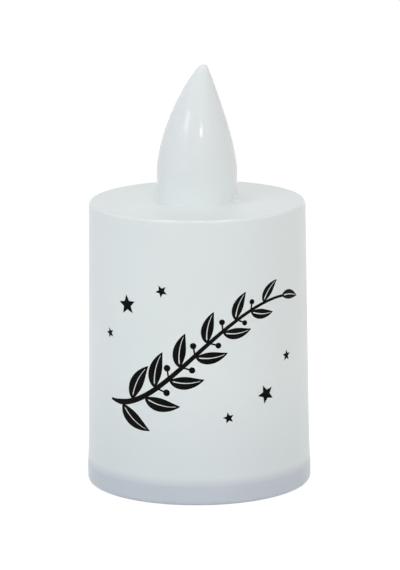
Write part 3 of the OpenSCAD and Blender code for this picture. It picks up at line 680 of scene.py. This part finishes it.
lay_stem()
for pair in range(leaf_pairs):
    along = first_pair + pair_step * pair
    size = 1 - leaf_shrink * along
    for side in (-1, 1):
        at = along + pair_stagger * side
        angle = stem_heading(at) + side * (leaf_spread - leaf_spread_loss * along)
        lay_leaf(stem_edge(at, side), angle, leaf_l * size, leaf_w * size, -side * leaf_bend)
        if 0 < pair < leaf_pairs - 1:
            at += berry_offset
            angle = stem_heading(at) + side * berry_spread
            lay_berry(stem_edge(at, side), angle, stalk_l * size, berry_r * size)
lay_leaf(stem_at(tip_leaf_root), stem_heading(1.0), length=5.6 * mm, width=1.0 * mm, bend=-0.5)
# Each star: across and up, its radius, and its turn in radians.
star_places = ((-15.5, 40.5, 2.1, 0.1), (-7.5, 44.0, 1.3, 0.5), (-20.5, 34.0, 1.1, 0.3),
               (14.5, 22.0, 2.0, 0.4), (20.5, 29.0, 1.2, 0.0), (6.0, 18.0, 1.2, 0.2))
for across, up, radius, turn in star_places:
    lay_disc(Vector((across, up, 0)) * mm, radius * mm, corners=10, dent=0.45, turn=turn)
bmesh.ops.remove_doubles(sprig, verts=sprig.verts[:], dist=ink_weld)
for face in sprig.faces:
    face.normal_update()
    if face.normal.z < 0:
        face.normal_flip()
print_r = shell_radius((shell_foot + shell_top) / 2)
for point in sprig.verts:
    radius = shell_radius(point.co.y) + ink_film
    turn = point.co.x / print_r
    point.co = (radius * math.sin(turn), -radius * math.cos(turn), point.co.y)
sprig.normal_update()
bmesh.ops.solidify(sprig, geom=sprig.faces[:], thickness=ink_film)
bmesh.ops.recalc_face_normals(sprig, faces=sprig.faces[:])
print_ink = moulded_black("print_ink", (0.003, 0.003, 0.0025), (0.006, 0.006, 0.005),
                          roughness=0.5, gloss=0.04)
sprig_print = finish_piece("sprig_print", sprig, print_ink, sharp_angle=40)
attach(sprig_print, "candle")


# Flame: a hollow teardrop of milky, glossy plastic with a blunt tip that leans to the right.
# Its foot passes up through the top, and a flange underneath keeps it there.

flame_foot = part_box("flame")[0].z
flame_tip_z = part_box("flame")[1].z
flame_flange_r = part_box("flame")[1].y
flame_wall = 0.0012
flame_solid = 0.005
flame_straight = 0.0063
flame_blunt = 0.0007
flame_over = 0.001
flame_lean = 0.0015
flame_hook = 3.8
flame_belly = 1.5
flame_fullness = 0.9
flame_turn_steps = 96
wall_steps = 44
tip_start = 30
tip_steps = 8
flame_h = flame_tip_z - shell_top
flange_foot = flame_foot - shell_top
blunt_h = flame_h - flame_blunt
cavity_top = flame_h - flame_solid


def flame_swell(h, reach):
    along = min(1.0, max(0.0, h - flame_straight) / (reach - flame_straight))
    return (1 - along ** flame_belly) ** flame_fullness


def flame_side(foot_r, top_h, reach):
    rises = [math.sin(math.pi / 2 * step / wall_steps) for step in range(wall_steps + 1)]
    heights = [flame_straight + (top_h - flame_straight) * rise for rise in rises]
    return [(foot_r * flame_swell(h, reach), h) for h in heights]


flame_outside = flame_side(flame_r, blunt_h, flame_h + flame_over)
tip_reach_r = flame_outside[-1][0] / math.cos(math.radians(tip_start))
tip_reach_z = flame_blunt / (1 - math.sin(math.radians(tip_start)))
blunt_tip = arc_points(0, flame_h - tip_reach_z, tip_reach_r, tip_reach_z,
                       start=tip_start, end=90, steps=tip_steps)[1:]
hollow = flame_side(flame_r - flame_wall, cavity_top, cavity_top)
flange = [(flame_r - flame_wall, flange_foot), (flame_flange_r, flange_foot),
          (flame_flange_r, -shell_roof)]
neck = [(flame_r, -shell_roof), (flame_r, 0.0)]
flame_points = hollow[::-1] + flange + neck + flame_outside + blunt_tip
teardrop = profile_mesh([(r, shell_top + h) for r, h in flame_points], closed=False)
turn_profile(teardrop, flame_turn_steps)
for point in teardrop.verts:
    rise = max(0.0, point.co.z - shell_top) / flame_h
    point.co.x += flame_lean * rise ** flame_hook
flame_milk = milky_plastic("flame_milk", (0.81, 0.85, 0.85), (0.83, 0.87, 0.87),
                           roughness=0.12, gloss=0.27, scatter=0.5)
flame_piece = finish_piece("flame_shell", teardrop, flame_milk)
put_in_place(flame_piece, "flame", "candle")


# Floor: a wide white table top. Seen directly or in a reflection it is plain white, with a faint shade
# under the candle, and from below it is clear, so that the underside can be looked at.

floor_r = 4.0
floor_drop = 0.00005
floor_shape = bmesh.new()
bmesh.ops.create_circle(floor_shape, cap_ends=True, radius=floor_r, segments=64)
bmesh.ops.translate(floor_shape, vec=(0, 0, -floor_drop), verts=floor_shape.verts[:])
floor_paint, floor_tree, floor_shader = new_finish("floor_white")
floor_shader.inputs["Base Color"].default_value = (0.85, 0.85, 0.85, 1)
floor_shader.inputs["Roughness"].default_value = 0.9
floor_shader.inputs["Specular IOR Level"].default_value = 0.0


def seen_directly(tree):
    path = tree.nodes.new("ShaderNodeLightPath")
    either = path.outputs["Is Camera Ray"]
    for ray in ("Is Glossy Ray", "Is Transmission Ray"):
        join = tree.nodes.new("ShaderNodeMath")
        join.operation = "MAXIMUM"
        tree.links.new(either, join.inputs[0])
        tree.links.new(path.outputs[ray], join.inputs[1])
        either = join.outputs["Value"]
    return either


glow = floor_tree.nodes.new("ShaderNodeEmission")
glow.inputs["Strength"].default_value = 0.90
faint_shade = floor_tree.nodes.new("ShaderNodeBsdfDiffuse")
faint_shade.inputs["Color"].default_value = (0.32, 0.32, 0.32, 1)
white_floor = floor_tree.nodes.new("ShaderNodeAddShader")
seen_floor = floor_tree.nodes.new("ShaderNodeMixShader")
clear = floor_tree.nodes.new("ShaderNodeBsdfTransparent")
underneath = floor_tree.nodes.new("ShaderNodeNewGeometry")
two_sided = floor_tree.nodes.new("ShaderNodeMixShader")
wire_up(floor_tree, faint_shade, "BSDF", white_floor, 0)
wire_up(floor_tree, glow, "Emission", white_floor, 1)
floor_tree.links.new(seen_directly(floor_tree), seen_floor.inputs[0])
wire_up(floor_tree, floor_shader, "BSDF", seen_floor, 1)
wire_up(floor_tree, white_floor, "Shader", seen_floor, 2)
wire_up(floor_tree, underneath, "Backfacing", two_sided, 0)
wire_up(floor_tree, seen_floor, "Shader", two_sided, 1)
wire_up(floor_tree, clear, "BSDF", two_sided, 2)
wire_up(floor_tree, two_sided, "Shader", floor_tree.nodes["Material Output"], "Surface")
floor = finish_piece("floor", floor_shape, floor_paint)


# Light: a white room, brightest at the level of the candle, does most of the lighting. A wide lamp on the
# left and a small one in front put the streaks on the flame, and three above put glints on the top edge.

room = bpy.data.worlds.new("room")
room.use_nodes = True
scene.world = room
room_tree = room.node_tree
room_light = room_tree.nodes["Background"]
outlook = object_place(room_tree)
rightward = share_between(room_tree, outlook, "X", start=-1.0, end=1.0)
room_colour = blend_colours(room_tree, rightward, first=(0.98, 1.0, 1.02), second=(1.09, 1.05, 1.04))
room_tree.links.new(room_colour, room_light.inputs["Color"])
height_level = share_between(room_tree, outlook, "Z", start=0.0, end=1.0, at_start=1.11, at_end=0.05)
front_level = share_between(room_tree, outlook, "Y", start=-1.0, end=0.4, at_start=1.25, at_end=0.90)
room_level = room_tree.nodes.new("ShaderNodeMath")
room_level.operation = "MULTIPLY"
wire_up(room_tree, height_level, "Result", room_level, 0)
wire_up(room_tree, front_level, "Result", room_level, 1)
wire_up(room_tree, room_level, "Value", room_light, "Strength")
room_seen = room_tree.nodes.new("ShaderNodeBackground")
room_seen.inputs["Color"].default_value = (1, 1, 1, 1)
room_seen.inputs["Strength"].default_value = 1.0
room_mix = room_tree.nodes.new("ShaderNodeMixShader")
room_tree.links.new(seen_directly(room_tree), room_mix.inputs[0])
wire_up(room_tree, room_light, "Background", room_mix, 1)
wire_up(room_tree, room_seen, "Background", room_mix, 2)
wire_up(room_tree, room_mix, "Shader", room_tree.nodes["World Output"], "Surface")

candle_middle = Vector((0, 0, 0.045))
lamp_distance = 0.45


def add_lamp(name, azimuth, elevation, size, power, colour=(1, 1, 1)):
    turn, lift = math.radians(azimuth), math.radians(elevation)
    outward = Vector((math.sin(turn) * math.cos(lift), -math.cos(turn) * math.cos(lift), math.sin(lift)))
    lamp = bpy.data.lights.new(name, "AREA")
    lamp.shape = "RECTANGLE"
    lamp.size, lamp.size_y = size
    lamp.energy = power
    lamp.color = colour
    holder = bpy.data.objects.new(name, lamp)
    holder.location = candle_middle + outward * lamp_distance
    holder.rotation_mode = "QUATERNION"
    holder.rotation_quaternion = outward.to_track_quat("Z", "Y")
    scene.collection.objects.link(holder)


add_lamp("window_left", azimuth=-46, elevation=31, size=(0.14, 0.07), power=0.18,
         colour=(0.86, 0.94, 1.0))
add_lamp("lamp_front", azimuth=15, elevation=27.5, size=(0.085, 0.03), power=0.14)
add_lamp("ceiling_left", azimuth=-90, elevation=73, size=(0.15, 0.086), power=0.23)
add_lamp("ceiling_middle", azimuth=90, elevation=88, size=(0.15, 0.045), power=0.21)
add_lamp("ceiling_right", azimuth=90, elevation=76, size=(0.15, 0.036), power=0.165)


# Camera: a long lens a little above the candle, looking slightly down on its top.
# It has the small roll of the photograph, and colours are shown as they are written.

camera_place = Vector((0, -0.8204, 0.2177))
camera_target = Vector((0.00045, 0, 0.0407))
camera_roll = -0.0081
lens = bpy.data.cameras.new("camera")
lens.sensor_fit = "AUTO"
lens.sensor_width = 36
lens.lens = 258.6
lens.clip_start, lens.clip_end = 0.05, 50
camera = bpy.data.objects.new("camera", lens)
look = (camera_target - camera_place).to_track_quat("-Z", "Y").to_matrix().to_4x4()
camera.matrix_world = Matrix.Translation(camera_place) @ look @ Matrix.Rotation(camera_roll, 4, "Z")
scene.collection.objects.link(camera)
scene.camera = camera
scene.view_settings.view_transform = "Standard"
